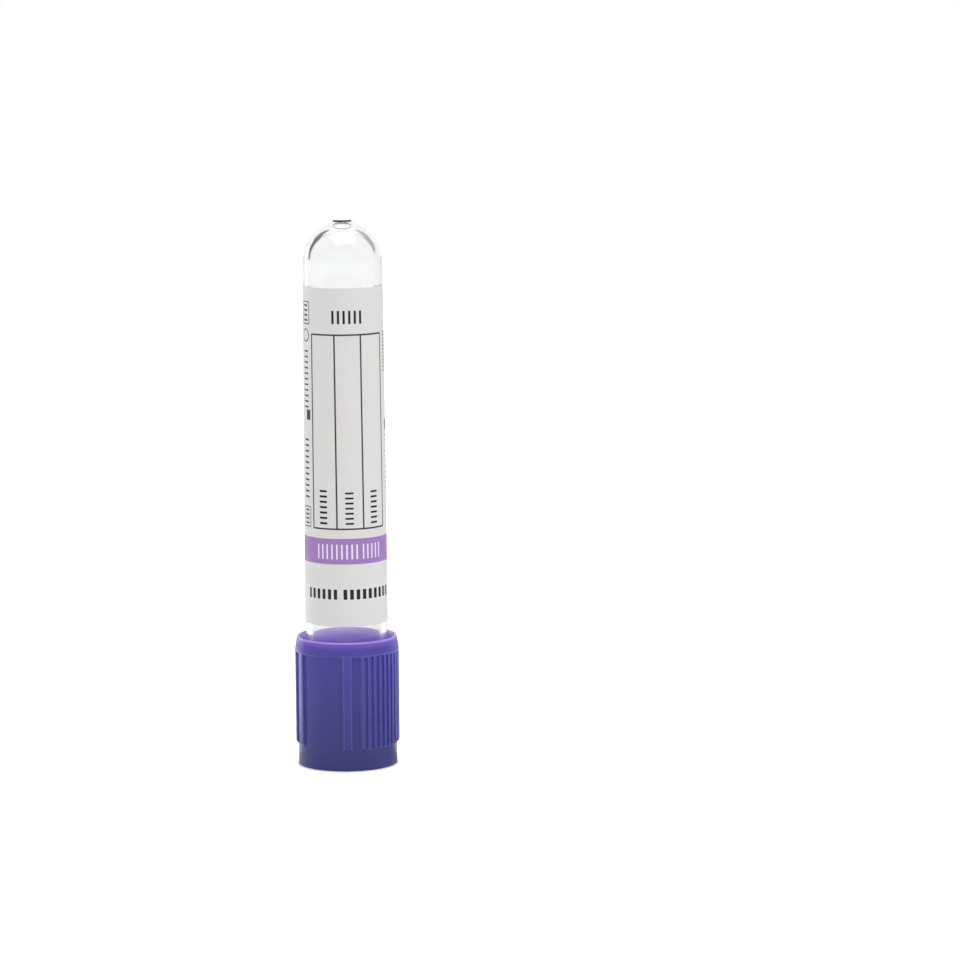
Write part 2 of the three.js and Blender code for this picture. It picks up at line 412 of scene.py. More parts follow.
class Print:
    """Shapes printed on the label, placed by the way round it (u) and the height on the tube (z)."""

    def __init__(self, nodes, u, z):
        self.nodes = nodes
        self.u = u
        self.z = z
        self.group = block_row_group()

    def blocks(self, along, across, start, pitch, count, length, middle, height, corner, line=SOLID):
        node = self.nodes.add("ShaderNodeGroup", node_tree=self.group)
        values = {"Along": along, "Across": across, "Start": start, "Pitch": pitch, "Count": count,
                  "Half Length": length / 2, "Middle": middle, "Half Height": height / 2,
                  "Corner": corner, "Line": line}
        for name, value in values.items():
            self.nodes.put(node.inputs[name], value)
        return node.outputs["Ink"]

    def row(self, left, right, count, middle, height, gap, corner=0.12):
        """A row of blocks round the tube, from left to right, at one height."""
        pitch = (right - left + gap) / count
        return self.blocks(self.u, self.z, left + (pitch - gap) / 2, pitch, count, pitch - gap, middle,
                           height, corner)

    def column(self, bottom, top, count, middle, height, gap, corner=0.12):
        """A row of blocks up the tube, from bottom to top, at one place round it."""
        pitch = (top - bottom + gap) / count
        return self.blocks(self.z, self.u, bottom + (pitch - gap) / 2, pitch, count, pitch - gap,
                           middle, height, corner)

    def outline(self, left, right, bottom, top, corner, line):
        """The outline of a round-cornered box."""
        return self.blocks(self.u, self.z, (left + right) / 2, 1, 1, right - left, (bottom + top) / 2,
                           top - bottom, corner, line)

    def bar(self, left, right, bottom, top, corner=0.05):
        """A filled round-cornered box."""
        return self.outline(left, right, bottom, top, corner, SOLID)

    def together(self, inks):
        """All the given shapes as one."""
        total = inks[0]
        for ink in inks[1:]:
            total = self.nodes.math("MAXIMUM", total, ink)
        return total


PRINT_SKEW = 0.006  # how far the print runs askew, for each millimetre up the tube
FORM_LEFT = -5.6
FORM_COLUMN = 4.27
FORM_BOTTOM = 38.3
FORM_TOP = 68.75
FORM_LINE = 0.26
BAND_LOW = 32.73
BAND_HIGH = 36.78
SIDE_COLUMN = -7.4  # the narrow column of small marks left of the form
FINE_COLUMN = 8.6  # the first of the three fine columns right of the form
BOX_CORNER = 0.25
BOX_LINE = 0.16
RING_RADIUS = 1.05
RING_LINE = 0.2


def form_lines(sheet):
    """The printed form: a box of three columns."""
    right = FORM_LEFT + 3 * FORM_COLUMN
    half = FORM_LINE / 2
    inks = [sheet.outline(FORM_LEFT - half, right + half, FORM_BOTTOM - half, FORM_TOP + half, 0.3,
                          FORM_LINE)]
    inks += [sheet.bar(FORM_LEFT + i * FORM_COLUMN - half, FORM_LEFT + i * FORM_COLUMN + half,
                       FORM_BOTTOM, FORM_TOP, 0.01) for i in (1, 2)]
    return sheet.together(inks)


def black_marks(sheet):
    """Strips of plain bars where a label has its words: none of them is a letter."""
    head_bottom = FORM_BOTTOM + 0.7
    column_heads = [sheet.column(head_bottom, head_bottom + length, count=7,
                                 middle=FORM_LEFT + (i + 0.47) * FORM_COLUMN, height=1.35, gap=0.5)
                    for i, length in enumerate((5.4, 5.1, 5.2))]
    volume = sheet.row(-1.7, 3.15, count=6, middle=71.5, height=2.1, gap=0.52)
    bold_words = [sheet.row(left, right, count, middle=27.95, height=1.6, gap=0.44)
                  for left, right, count in ((-6.9, -1.5, 6), (-0.5, 8.3, 9))]
    boxed = [sheet.outline(SIDE_COLUMN - 1.2, SIDE_COLUMN + 1.2, 70.2, 73.8, BOX_CORNER, BOX_LINE),
             sheet.column(70.7, 73.3, count=4, middle=SIDE_COLUMN, height=1.3, gap=0.45),
             sheet.outline(SIDE_COLUMN - 1.1, SIDE_COLUMN + 1.1, 38.3, 41.6, BOX_CORNER, BOX_LINE),
             sheet.column(38.8, 41.1, count=4, middle=SIDE_COLUMN, height=1.2, gap=0.4)]
    ring = sheet.outline(SIDE_COLUMN - RING_RADIUS, SIDE_COLUMN + RING_RADIUS, 67.4,
                         67.4 + 2 * RING_RADIUS, RING_RADIUS, RING_LINE)
    numbers = [sheet.column(bottom, top, count=11, middle=SIDE_COLUMN, height=1.4, gap=0.6)
               for bottom, top in ((57.1, 66.1), (42.9, 52.2))]
    flag = sheet.bar(SIDE_COLUMN + 0.1, SIDE_COLUMN + 1.2, 55.2, 56.8)
    fine_rows = [sheet.column(62.6, 69.0, count=12, middle=FINE_COLUMN + i, height=0.45, gap=0.2,
                              corner=0.05) for i in range(3)]
    side_flags = [sheet.bar(8.75, 10.2, 53.4, 55.0),
                  sheet.column(44.0, 52.6, count=11, middle=9.5, height=1.2, gap=0.55)]
    return sheet.together([*column_heads, volume, *bold_words, *boxed, ring, *numbers, flag,
                           *fine_rows, *side_flags])


def printed_paper():
    """Coated white paper with a violet band, a form of three columns and plain marks in black."""
    nodes, shader, material = new_material("printed_paper")
    vector, x, y, z = nodes.place()
    turn = nodes.math("ARCTAN2", x, nodes.math("MULTIPLY", y, -1))
    skew = nodes.math("MULTIPLY", nodes.math("SUBTRACT", z, FORM_BOTTOM), PRINT_SKEW)
    u = nodes.math("ADD", nodes.math("MULTIPLY", turn, LABEL_MIDDLE_RADIUS), skew)
    sheet = Print(nodes, u, z)
    paper = paper_colour(nodes, vector)
    all_round = 30
    band = sheet.bar(-all_round, all_round, BAND_LOW, BAND_HIGH, 0.01)
    band_marks = sheet.together([sheet.row(-4.75, 1.9, count=9, middle=34.7, height=2.4, gap=0.52),
                                 sheet.row(2.7, 6.0, count=5, middle=34.7, height=2.4, gap=0.5)])
    colour = nodes.mix(band, paper, VIOLET_INK)
    colour = nodes.mix(band_marks, colour, WHITE_INK)
    colour = nodes.mix(form_lines(sheet), colour, LINE_INK)
    marks = black_marks(sheet)
    colour = nodes.mix(marks, colour, INK)
    nodes.put(shader.inputs["Base Color"], colour)
    nodes.put(shader.inputs["Roughness"], nodes.ramp(marks, 0, 1, 0.5, 0.36, smooth=False))
    nodes.put(shader.inputs["Normal"], nodes.bump(nodes.noise(vector, 2.2, 5.0, 0.6), 0.012))
    shader.inputs["Specular IOR Level"].default_value = 0.4
    return material


def paper_colour(nodes, vector):
    """Paper white with faint clouds of fibre."""
    cloud = nodes.noise(vector, 0.35, 6.0, 0.65)
    return nodes.mix(cloud, srgb(0.872, 0.868, 0.862), srgb(0.896, 0.888, 0.886))


def plain_paper():
    """The unprinted back and edges of the label."""
    nodes, shader, material = new_material("plain_paper")
    vector = nodes.place()[0]
    nodes.put(shader.inputs["Base Color"], paper_colour(nodes, vector))
    nodes.put(shader.inputs["Normal"], nodes.bump(nodes.noise(vector, 2.2, 5.0, 0.6), 0.012))
    shader.inputs["Roughness"].default_value = 0.62
    return material


# ---------- plastic and rubber ----------


def clear_plastic():
    """Injection-moulded clear polyester with faint flow ripples, which lets lamps through."""
    nodes, shader, material = new_material("clear_plastic")
    vector = nodes.place()[0]
    nodes.put(shader.inputs["Normal"], nodes.bump(nodes.noise(vector, 0.22, 2.0, 0.4), 0.02))
    shader.inputs["Base Color"].default_value = (0.985, 0.99, 0.99, 1.0)
    shader.inputs["Roughness"].default_value = 0.0
    shader.inputs["IOR"].default_value = 1.57
    shader.inputs["Transmission Weight"].default_value = 1.0
    light = nodes.add("ShaderNodeLightPath").outputs
    through = nodes.math("MAXIMUM", light["Is Shadow Ray"], light["Is Diffuse Ray"])
    clear = nodes.add("ShaderNodeBsdfTransparent", {"Color": (0.96, 0.965, 0.965, 1.0)})
    both = nodes.add("ShaderNodeMixShader", {"Fac": through})
    nodes.put(both.inputs[1], shader.outputs["BSDF"])
    nodes.put(both.inputs[2], clear.outputs["BSDF"])
    nodes.put(nodes.output.inputs["Surface"], both.outputs["Shader"])
    return material


def violet_plastic():
    """Satin violet polyethylene that some light passes through.

    Its colour holds painted light and shade: it is paler and redder at the thin skirt and band, painted
    as light passing through, and darker and greyer further down, painted as shade where the dark stopper
    is close behind it and nearer the floor. Where the shell's painted-light attribute asks for it, it
    takes a
    painted lit colour: bluish on the ribs, warm on the band, greyish on the rim's ridge and brightest
    inside the rim.
    """
    nodes, shader, material = new_material("violet_plastic")
    vector, _, _, z = nodes.place()
    # painted shade darkens the foot and the lower wall; painted light passing through brightens the
    # upper skirt and the band
    foot = srgb(0.19, 0.20, 0.485)
    low = srgb(0.223, 0.227, 0.53)
    high = srgb(0.29, 0.265, 0.635)
    band = srgb(0.34, 0.288, 0.667)
    # painted light: the lit colours that the shell's painted-light attribute mixes in
    lit_rib = srgb(0.58, 0.57, 0.92)
    lit_band = srgb(0.68, 0.54, 0.94)
    lit_ridge = srgb(0.64, 0.57, 0.85)
    brightest = srgb(0.93, 0.87, 1.0)
    colour = nodes.mix(nodes.ramp(z, 1.5, 5.0, smooth=False), foot, low)
    colour = nodes.mix(nodes.ramp(z, 5.0, 17.5, smooth=False), colour, high)
    colour = nodes.mix(nodes.ramp(z, 17.6, 18.8), colour, band)
    cloud = nodes.noise(vector, 0.25, 4.0, 0.6)
    colour = nodes.mix(nodes.ramp(cloud, 0.3, 0.7, 0.0, 0.1, smooth=False), colour, foot)
    painted_light = nodes.add("ShaderNodeAttribute", attribute_name="painted_light").outputs["Fac"]
    lit = nodes.mix(nodes.ramp(z, BAND_BOTTOM - 0.3, BAND_BOTTOM + 0.1), lit_rib, lit_band)
    lit = nodes.mix(nodes.ramp(z, CAP_HEIGHT - 0.35, CAP_HEIGHT - 0.15), lit, lit_ridge)
    colour = nodes.mix(painted_light, colour, lit)
    colour = nodes.mix(nodes.ramp(painted_light, 1.0, 2.0, smooth=False), colour, brightest)
    satin = nodes.ramp(nodes.noise(vector, 0.9, 3.0), 0.2, 0.8, 0.3, 0.38)
    nodes.put(shader.inputs["Base Color"], colour)
    nodes.put(shader.inputs["Roughness"], satin)
    nodes.put(shader.inputs["Normal"], nodes.bump(nodes.noise(vector, 1.6, 4.0, 0.55), 0.012))
    shader.inputs["Specular IOR Level"].default_value = 0.5
    shader.inputs["Subsurface Weight"].default_value = 0.7
    shader.inputs["Subsurface Radius"].default_value = (0.5, 0.4, 1.2)
    shader.inputs["Subsurface Scale"].default_value = MM
    return material


def grey_rubber():
    """Dark grey butyl rubber with a soft sheen and a bloom of mould powder."""
    nodes, shader, material = new_material("grey_rubber")
    vector = nodes.place()[0]
    cloud = nodes.noise(vector, 0.5, 5.0, 0.65)
    nodes.put(shader.inputs["Base Color"], nodes.mix(cloud, srgb(0.2, 0.205, 0.215),
                                                     srgb(0.26, 0.265, 0.275)))
    nodes.put(shader.inputs["Roughness"], nodes.ramp(cloud, 0.3, 0.7, 0.48, 0.62))
    nodes.put(shader.inputs["Normal"], nodes.bump(nodes.noise(vector, 4.0, 4.0, 0.6), 0.015))
    return material


# ---------- pieces ----------


def clear_tube():
    """The tube: the bore from its inner pole down to the rim, then the outside up to the gate disc."""
    bore = TUBE_MOUTH_RADIUS - TUBE_WALL
    inner = TUBE_END_RADIUS - TUBE_WALL
    crown = TUBE_END_RADIUS - CROWN_WALL
    edge = TUBE_RIM_EDGE
    gate_angle = math.degrees(math.acos(GATE_RADIUS / TUBE_END_RADIUS))
    bore_rim = TUBE_MOUTH + edge
    profile = np.vstack([
        arc(0, DOME_CENTRE, inner, crown, 90, 0, 48),
        stretch((inner, DOME_CENTRE), (bore, bore_rim), 40),
        arc(bore + edge, bore_rim, edge, edge, 180, 270),
        arc(TUBE_MOUTH_RADIUS - edge, bore_rim, edge, edge, -90, 0),
        stretch((TUBE_MOUTH_RADIUS, bore_rim), (TUBE_END_RADIUS, DOME_CENTRE), 40),
        arc(0, DOME_CENTRE, TUBE_END_RADIUS, TUBE_END_RADIUS, 0, gate_angle, 40),
        arc(GATE_RADIUS - GATE_EDGE, TUBE_TOP - GATE_EDGE, GATE_EDGE, GATE_EDGE, 0, 90, 4),
        [[0, TUBE_TOP]],
    ])
    profile[0, 0] = 0
    places, faces = turned(profile)
    make_piece("clear_tube", places, faces, [clear_plastic()], "tube", "tube", 50)


def paper_label():
    """The label: a sheet on the taper, from one side of the rear window round the front to the other.

    A section runs up the outside and down the inside of the sheet. Near the two upright edges its
    ends draw in along a quarter circle, which rounds the sheet's corners.
    """
    reach = 180 - LABEL_WINDOW / 2
    corner = math.degrees(LABEL_CORNER / tube_radius(label_low.z))
    near_edge = corner * (1 - np.cos(np.linspace(0, np.pi / 2, 9)))
    angles = np.concatenate([near_edge - reach, np.linspace(corner - reach, reach - corner, 180)[1:-1],
                             reach - near_edge[::-1]])
    from_edge = np.minimum(reach - np.abs(angles), corner) / corner
    drawn_in = LABEL_CORNER * (1 - np.sqrt(np.clip(1 - (1 - from_edge) ** 2, 0, 1)))
    share = np.linspace(0, 1, 24)[:, None]
    height = (label_low.z + drawn_in) * (1 - share) + (label_high.z - drawn_in) * share
    fit = label_high.x - LABEL_THICKNESS - tube_radius(label_low.z)
    inside = tube_radius(height) + fit
    radius = np.vstack([inside + LABEL_THICKNESS, inside[::-1]])
    height = np.vstack([height, height[::-1]])
    rows, columns = radius.shape
    places = around(radius, height, angles[None, :])
    faces = lattice(rows, columns, True, False)
    outer = np.arange(rows // 2 - 1)
    inner = rows - 1 - outer
    left = np.stack([outer, outer + 1, inner - 1, inner], axis=-1) * columns
    ends = np.vstack([left[:, ::-1], left + columns - 1])
    label = make_piece("paper_label", places, np.vstack([faces, ends]).tolist(),
                       [printed_paper(), plain_paper()], "tube", "label")
    printed = (rows // 2 - 1) * (columns - 1)
    indices = np.ones(len(label.data.polygons), dtype=np.int32)
    indices[:printed] = 0
    label.data.polygons.foreach_set("material_index", indices)


def rib_side(half, edge, painted_light, foot_pale):
    """One side of a rib's section [way out from its middle, rise, painted light], from middle to wall.

    A flat top, a quarter circle at the edge, an upright side and a quarter circle at the foot. The
    painted light is a little on the top, a painted highlight on the edge, and painted light lifting the
    shade at the foot.
    """
    flat = half - edge
    section = np.vstack([
        [[0, RIB_PROUD], [flat / 2, RIB_PROUD], [flat * 0.85, RIB_PROUD]],
        arc(flat, RIB_PROUD - edge, edge, edge, 90, 0, 5),
        arc(half + RIB_LEAN + RIB_FOOT, RIB_FOOT, RIB_FOOT, RIB_FOOT, 180, 270, 4),
    ])
    return np.column_stack([section, np.repeat([RIB_FACE_PALE, painted_light, foot_pale], [3, 6, 5])])


def rib_columns():
    """Angles round the shell, and the ribs' rise and painted light at each, sorted by angle."""
    pitch = (180 - PANEL_ANGLE - 2 * RIB_GROUP_GAP) / (NARROW_RIBS_PER_SIDE - 1)
    first = SHELL_TURN + PANEL_ANGLE / 2
    wide = np.array([first, first - PANEL_ANGLE, first + 180, first + 180 - PANEL_ANGLE])
    group = first + RIB_GROUP_GAP + pitch * np.arange(NARROW_RIBS_PER_SIDE)
    narrow = np.concatenate([group, group + 180])
    plain = np.arange(0, 360, WALL_STEP)
    columns = []
    for middles, side in ((wide, rib_side(WIDE_RIB / 2, WIDE_EDGE, WIDE_PALE, GAP_PALE / 2)),
                          (narrow, rib_side(NARROW_RIB / 2, NARROW_EDGE, NARROW_PALE, GAP_PALE))):
        section = np.vstack([side[:0:-1] * [-1, 1, 1], side])
        across = np.degrees(section[:, 0] / SHELL_RADIUS)
        angles = (middles[:, None] + across).ravel() % 360
        columns.append(np.column_stack([angles, np.tile(section[:, 1:], (len(middles), 1))]))
        away = np.abs((plain[:, None] - middles[None, :] + 180) % 360 - 180).min(axis=1)
        plain = plain[away > across[-1] + RIB_MARGIN]
    columns.append(np.column_stack([plain, np.zeros((len(plain), 2))]))
    columns = np.vstack(columns)
    return columns[np.argsort(columns[:, 0], kind="stable")].T


def outer_paleness(depth):
    """Painted light on the outer wall at a depth under the rim: a painted highlight on its ridge, fading
    down the band.
    """
    ridge = 0.2
    fade = 1.2
    return np.where(depth < ridge, 1, BAND_PALE * np.clip(1 - depth / fade, 0, 1))


def inner_paleness(depth):
    """How much painted light the inner wall takes at a depth under the rim.

    The skirt is painted as lit down to the stopper's plug, and painted brighter just inside the rim.
    """
    skirt = SKIRT_PALE + (1 - SKIRT_PALE) * np.clip((5.5 - depth) / 2, 0, 1)
    past_ridge = np.clip((depth - 0.05) / 0.13, 0, 1)
    near_rim = np.clip((1.4 - depth) / 1.2, 0, 1)
    return skirt + past_ridge * near_rim


def cap_shell():
    """The shell: a section turned round the axis, with the ribs standing out of its outer wall.

    The outer wall's radius is the larger of the section's own and the rib's, whose lower end slopes
    out from the wall. Its corners carry painted light for the plastic's colour: painted highlights on
    the thin rim and the ribs' edges, and painted light in the gaps between the ribs and inside the rim.
    """
    past_slope = 0.1
    rim_radius = BAND_RADIUS - BAND_TAPER
    mouth_bore = rim_radius - RIM_WALL
    skirt_bore = SHELL_RADIUS - SKIRT_WALL
    ledge_bore = NECK_RADIUS + LEDGE_FIT
    rib_end = np.linspace(RIB_START, RIB_START + RIB_END_SLOPE + past_slope, 8)
    outer = np.vstack([
        arc(SHELL_RADIUS - END_EDGE, END_EDGE, END_EDGE, END_EDGE, -90, 0),
        stretch((SHELL_RADIUS, END_EDGE), (SHELL_RADIUS, RIB_START), 3),
        np.column_stack([np.full(len(rib_end), SHELL_RADIUS), rib_end]),
        stretch((SHELL_RADIUS, rib_end[-1]), (SHELL_RADIUS, BAND_BOTTOM - BAND_FILLET), 8),
        arc(SHELL_RADIUS + BAND_FILLET, BAND_BOTTOM - BAND_FILLET, BAND_FILLET, BAND_FILLET, 180, 90, 4),
        arc(BAND_RADIUS - BAND_EDGE, BAND_BOTTOM + BAND_EDGE, BAND_EDGE, BAND_EDGE, -90, 0, 6),
        stretch((BAND_RADIUS, BAND_BOTTOM + BAND_EDGE), (rim_radius, CAP_HEIGHT - RIM_ROUND), 6),
        arc(mouth_bore + RIM_EDGE, CAP_HEIGHT - RIM_ROUND, RIM_WALL - RIM_EDGE, RIM_ROUND, 0, 90, 8),
    ])
    inner = np.vstack([
        arc(mouth_bore + RIM_EDGE, CAP_HEIGHT - RIM_EDGE, RIM_EDGE, RIM_EDGE, 90, 180)[1:],
        stretch((mouth_bore, CAP_HEIGHT - RIM_EDGE), (skirt_bore, CAP_HEIGHT - FLARE_HEIGHT), 4),
        [[skirt_bore, CAP_HEIGHT - FLARE_HEIGHT]],
        stretch((skirt_bore, CAP_HEIGHT - FLARE_HEIGHT), (skirt_bore, LEDGE_TOP + LEDGE_FILLET), 4),
        arc(skirt_bore - LEDGE_FILLET, LEDGE_TOP + LEDGE_FILLET, LEDGE_FILLET, LEDGE_FILLET, 0, -90, 4),
        arc(ledge_bore + LEDGE_EDGE, LEDGE_TOP - LEDGE_EDGE, LEDGE_EDGE, LEDGE_EDGE, 90, 180, 4),
        arc(ledge_bore + LEDGE_EDGE, LEDGE_BOTTOM + LEDGE_EDGE, LEDGE_EDGE, LEDGE_EDGE, 180, 270, 4),
        [[SHELL_BORE, LEDGE_BOTTOM]],
        stretch((SHELL_BORE, LEDGE_BOTTOM), (SHELL_BORE, END_EDGE), 3),
        arc(SHELL_BORE + END_EDGE / 2, END_EDGE, END_EDGE / 2, END_EDGE, 180, 270),
    ])
    angles, rises, rib_pale = rib_columns()
    section_radius = outer[:, :1]
    height = outer[:, 1:]
    slope = np.clip((height - RIB_START) * RIB_PROUD / RIB_END_SLOPE, 0, None)
    ribbed = (height > RIB_START) & (height < BAND_BOTTOM + RIB_SINK)
    rise = np.where(ribbed, np.minimum(rises[None, :], slope), 0)
    outer_radius = np.maximum(section_radius, SHELL_RADIUS + rise)
    inner_radius = np.repeat(inner[:, :1], len(angles), axis=1)
    radius = np.vstack([outer_radius, inner_radius])
    heights = np.vstack([height, inner[:, 1:]])
    places = around(radius, heights, angles[None, :])
    faces = lattice(len(radius), len(angles), True, True).tolist()
    shell = make_piece("violet_cap_shell", places, faces, [violet_plastic()], "cap", "cap_shell",
                       38)
    depth = CAP_HEIGHT - heights
    # painted light on the ribs and their sloped ends, and fading down from the rim
    on_rib_end = (rise > RIB_FOOT) & (height < RIB_START + RIB_END_SLOPE)
    rib_light = np.where(ribbed, np.where(on_rib_end, NARROW_PALE, rib_pale[None, :]), 0)
    outer_pale = np.maximum(outer_paleness(depth[:len(outer)]), rib_light)
    inner_pale = np.repeat(inner_paleness(depth[len(outer):]), len(angles), axis=1)
    painted_light = np.vstack([outer_pale, inner_pale])
    shell.data.attributes.new("painted_light", "FLOAT", "POINT").data.foreach_set("value", painted_light.ravel())


def mark_rings():
    """Small rings moulded on the stopper's needle side: a circle carried round a circle."""
    thickness = MARK_HEIGHT + MARK_SINK
    turn = np.radians(np.arange(0, 360, 15))[None, :, None]
    side = np.radians(np.arange(0, 360, 45))[None, None, :]
    share = MARK_PLACE
    place = (1 - share) * NEEDLE_RECESS_RADIUS + share * FLANGE_RADIUS
    at = np.radians(MARK_TURN + np.arange(MARK_COUNT) * 360 / MARK_COUNT)[:, None, None]
    out = MARK_RING_RADIUS + thickness * np.cos(side)
    x = place * np.sin(at) + out * np.cos(turn)
    y = -place * np.cos(at) + out * np.sin(turn)
    z = FLANGE_BOTTOM + MARK_SINK + thickness * np.sin(side)
    x, y, z = np.broadcast_arrays(x, y, z)
    places = np.stack([x, y, z], axis=-1).reshape(-1, 3)
    rows, columns = x.shape[1:]
    one = lattice(rows, columns, True, True)
    faces = one[None] + (np.arange(MARK_COUNT) * rows * columns)[:, None, None]
    return places, faces.reshape(-1, 4)


def rubber_stopper():
    """The stopper: up from the needle recess's floor, round the flange, neck and plug, to the
    membrane's upper face, with the small mark rings on its needle side."""
    recess_floor = FLANGE_BOTTOM + NEEDLE_RECESS_DEPTH
    membrane_top = recess_floor + MEMBRANE
    groove = FLANGE_BOTTOM + FLANGE_HEIGHT
    plug_bottom = PLUG_TOP - PLUG_LENGTH
    free_radius = PLUG_RADIUS - PLUG_DRAFT
    seam = FLANGE_BOTTOM + SEAM_HEIGHT
    lip = NEEDLE_RECESS_LIP
    fillet = RECESS_FILLET
    foot_edge = PLUG_FOOT_EDGE
    plug_edge = min(PLUG_EDGE, (free_radius - BLOOD_RECESS_RADIUS) / 2)
    profile = np.vstack([
        [[0, recess_floor]],
        arc(NEEDLE_RECESS_RADIUS - fillet, recess_floor - fillet, fillet, fillet, 90, 0),
        stretch((NEEDLE_RECESS_RADIUS, recess_floor), (NEEDLE_RECESS_RADIUS, FLANGE_BOTTOM + lip), 6),
        arc(NEEDLE_RECESS_RADIUS + lip, FLANGE_BOTTOM + lip, lip, lip, 180, 270, 8),
        arc(FLANGE_RADIUS - FLANGE_EDGE, FLANGE_BOTTOM + FLANGE_EDGE, FLANGE_EDGE, FLANGE_EDGE, -90, 0),
        [[FLANGE_RADIUS, seam - SEAM_REACH], [FLANGE_RADIUS - SEAM_DEPTH, seam],
         [FLANGE_RADIUS, seam + SEAM_REACH]],
        arc(FLANGE_RADIUS - FLANGE_SHOULDER, groove - FLANGE_SHOULDER, FLANGE_SHOULDER,
            FLANGE_SHOULDER, 0, 90, 8),
        arc(NECK_RADIUS + GROOVE_FILLET, groove + GROOVE_FILLET, GROOVE_FILLET, GROOVE_FILLET, 270,
            180, 3),
        arc(NECK_RADIUS + GROOVE_FILLET, plug_bottom - GROOVE_FILLET, GROOVE_FILLET, GROOVE_FILLET,
            180, 90, 3),
        arc(PLUG_RADIUS - foot_edge, plug_bottom + foot_edge, foot_edge, foot_edge, -90, 0, 4),
        arc(free_radius - plug_edge, PLUG_TOP - plug_edge, plug_edge, plug_edge, 0, 90, 8),
        arc(BLOOD_RECESS_RADIUS + plug_edge / 2, PLUG_TOP - plug_edge / 2, plug_edge / 2,
            plug_edge / 2, 90, 180),
        arc(BLOOD_RECESS_RADIUS - fillet, membrane_top + fillet, fillet, fillet, 0, -90),
        [[0, membrane_top]],
    ])
    places, faces = turned(profile, STOPPER_TURNS)
    ring_places, ring_faces = mark_rings()
    faces += (ring_faces + len(places)).tolist()
    make_piece("grey_stopper", np.vstack([places, ring_places]), faces, [grey_rubber()], "stopper",
               "rubber_stopper")


# ---------- stage ----------

FLOOR_REACH = 1.6
AMBIENT = 0.435
STUDIO_WHITE = 0.975
# painted reflections: strengths of the two bright streaks that the floor gives off only to mirrored rays
LEFT_PAINTED_STREAK = 3.8
RIGHT_PAINTED_STREAK = 1.7


def ray_kinds(nodes):
    """How a ray came, as numbers 0 or 1: from the camera, mirrored, or bent in the clear plastic."""
    light = nodes.add("ShaderNodeLightPath").outputs
    inside = nodes.math("GREATER_THAN", light["Transmission Depth"], 0.5)
    turned_back = nodes.math("MULTIPLY", inside, light["Is Glossy Ray"])
    mirrored = nodes.math("SUBTRACT", light["Is Glossy Ray"], turned_back)
    bent = nodes.math("MAXIMUM", light["Is Transmission Ray"], turned_back)
    return light["Is Camera Ray"], mirrored, bent


def white_but_foot(nodes, distance, y):
    """The floor's own light as the camera sees it: white, but for a thin line of painted shadow at the
    foot.

    The painted line is a little wider in front, and the light grows to full white far from the tube.
    Here and below, places on the floor are in metres.
    """
    # painted shadow: the floor's own light drops in a thin ring round the foot
    frontwards = nodes.math("ADD", distance, nodes.math("MULTIPLY", y, 0.1))
    contact = nodes.ramp(frontwards, 0.0077, 0.0083, 0.3, 0.95)
    return nodes.ramp(distance, 0.1, 0.6, contact, 1.0)


def painted_reflections(nodes, distance, x, y):
    """Painted reflections: light the floor gives off only to mirrored rays, which glossy walls show as
    two bright streaks behind, and a room darker at the right.

    A place on an upright wall mirrors the floor about six times as far off as the place is high, so a
    distance stands for a height on the cap. Both painted streaks are brightest at its band and end above
    it, and the left one is weakest at its foot.
    """
    leftwards = nodes.math("DIVIDE", nodes.math("SUBTRACT", y, x), distance)
    rightwards = nodes.math("DIVIDE", nodes.math("ADD", y, x), distance)
    above_foot = nodes.ramp(distance, 0.025, 0.032, 0.4, 1.0)
    at_band = nodes.ramp(distance, 0.098, 0.114, 0.66, 1.0)
    below_label = nodes.ramp(distance, 0.10, 0.18, 1.0, 0.0)
    left = nodes.math("MULTIPLY", nodes.ramp(leftwards, 1.32, 1.42, 0.0, LEFT_PAINTED_STREAK), above_foot)
    painted_streaks = nodes.math("ADD", left, nodes.ramp(rightwards, 1.3, 1.4, 0.0, RIGHT_PAINTED_STREAK))
    painted_streaks = nodes.math("MULTIPLY", painted_streaks, at_band)
    painted_streaks = nodes.math("MULTIPLY", painted_streaks, below_label)
    room = nodes.ramp(rightwards, 0.4, 0.95, 0.6, 0.22)
    return nodes.math("ADD", painted_streaks, room)


def floor():
    """A wide white floor. Besides what falls on it, it has some light of its own.

    That light depends on how a ray came: the camera sees white but for the painted shadow line at the
    foot, the clear plastic shows it a little less than white, and glossy walls mirror two painted
    streaks, painted reflections that the floor gives off to mirrored rays only.
    """
    mesh = bpy.data.meshes.new("floor")
    reach = FLOOR_REACH
    mesh.from_pydata([(-reach, -reach, 0), (reach, -reach, 0), (reach, reach, 0), (-reach, reach, 0)],
                     [], [(0, 1, 2, 3)])
    plane = bpy.data.objects.new("floor", mesh)
    bpy.context.scene.collection.objects.link(plane)
    material = bpy.data.materials.new("white_floor")
    material.use_nodes = True
    material.node_tree.nodes.clear()
    nodes = Nodes(material.node_tree)
    straight, mirrored, bent = ray_kinds(nodes)
    place = nodes.add("ShaderNodeTexCoord").outputs["Object"]
    distance = nodes.add("ShaderNodeVectorMath", {0: place}, operation="LENGTH").outputs["Value"]
    x, y, _ = nodes.add("ShaderNodeSeparateXYZ", {"Vector": place}).outputs
    own = nodes.math("MULTIPLY", straight, white_but_foot(nodes, distance, y))
    bent_own = nodes.math("MULTIPLY", bent, STUDIO_WHITE)
    mirrored_own = nodes.math("MULTIPLY", mirrored, painted_reflections(nodes, distance, x, y))
    own = nodes.math("ADD", nodes.math("ADD", own, bent_own), mirrored_own)
    colour = nodes.mix(mirrored, grey(0.85), grey(0.25))
    colour = nodes.mix(straight, colour, grey(0.45))
    colour = nodes.mix(bent, colour, grey(0))
    plain = nodes.add("ShaderNodeBsdfDiffuse", {"Color": colour})
    glow = nodes.add("ShaderNodeEmission", {"Strength": own})
    both = nodes.add("ShaderNodeAddShader", {0: plain.outputs[0], 1: glow.outputs[0]})
    nodes.add("ShaderNodeOutputMaterial", {"Surface": both.outputs[0]})
    mesh.materials.append(material)


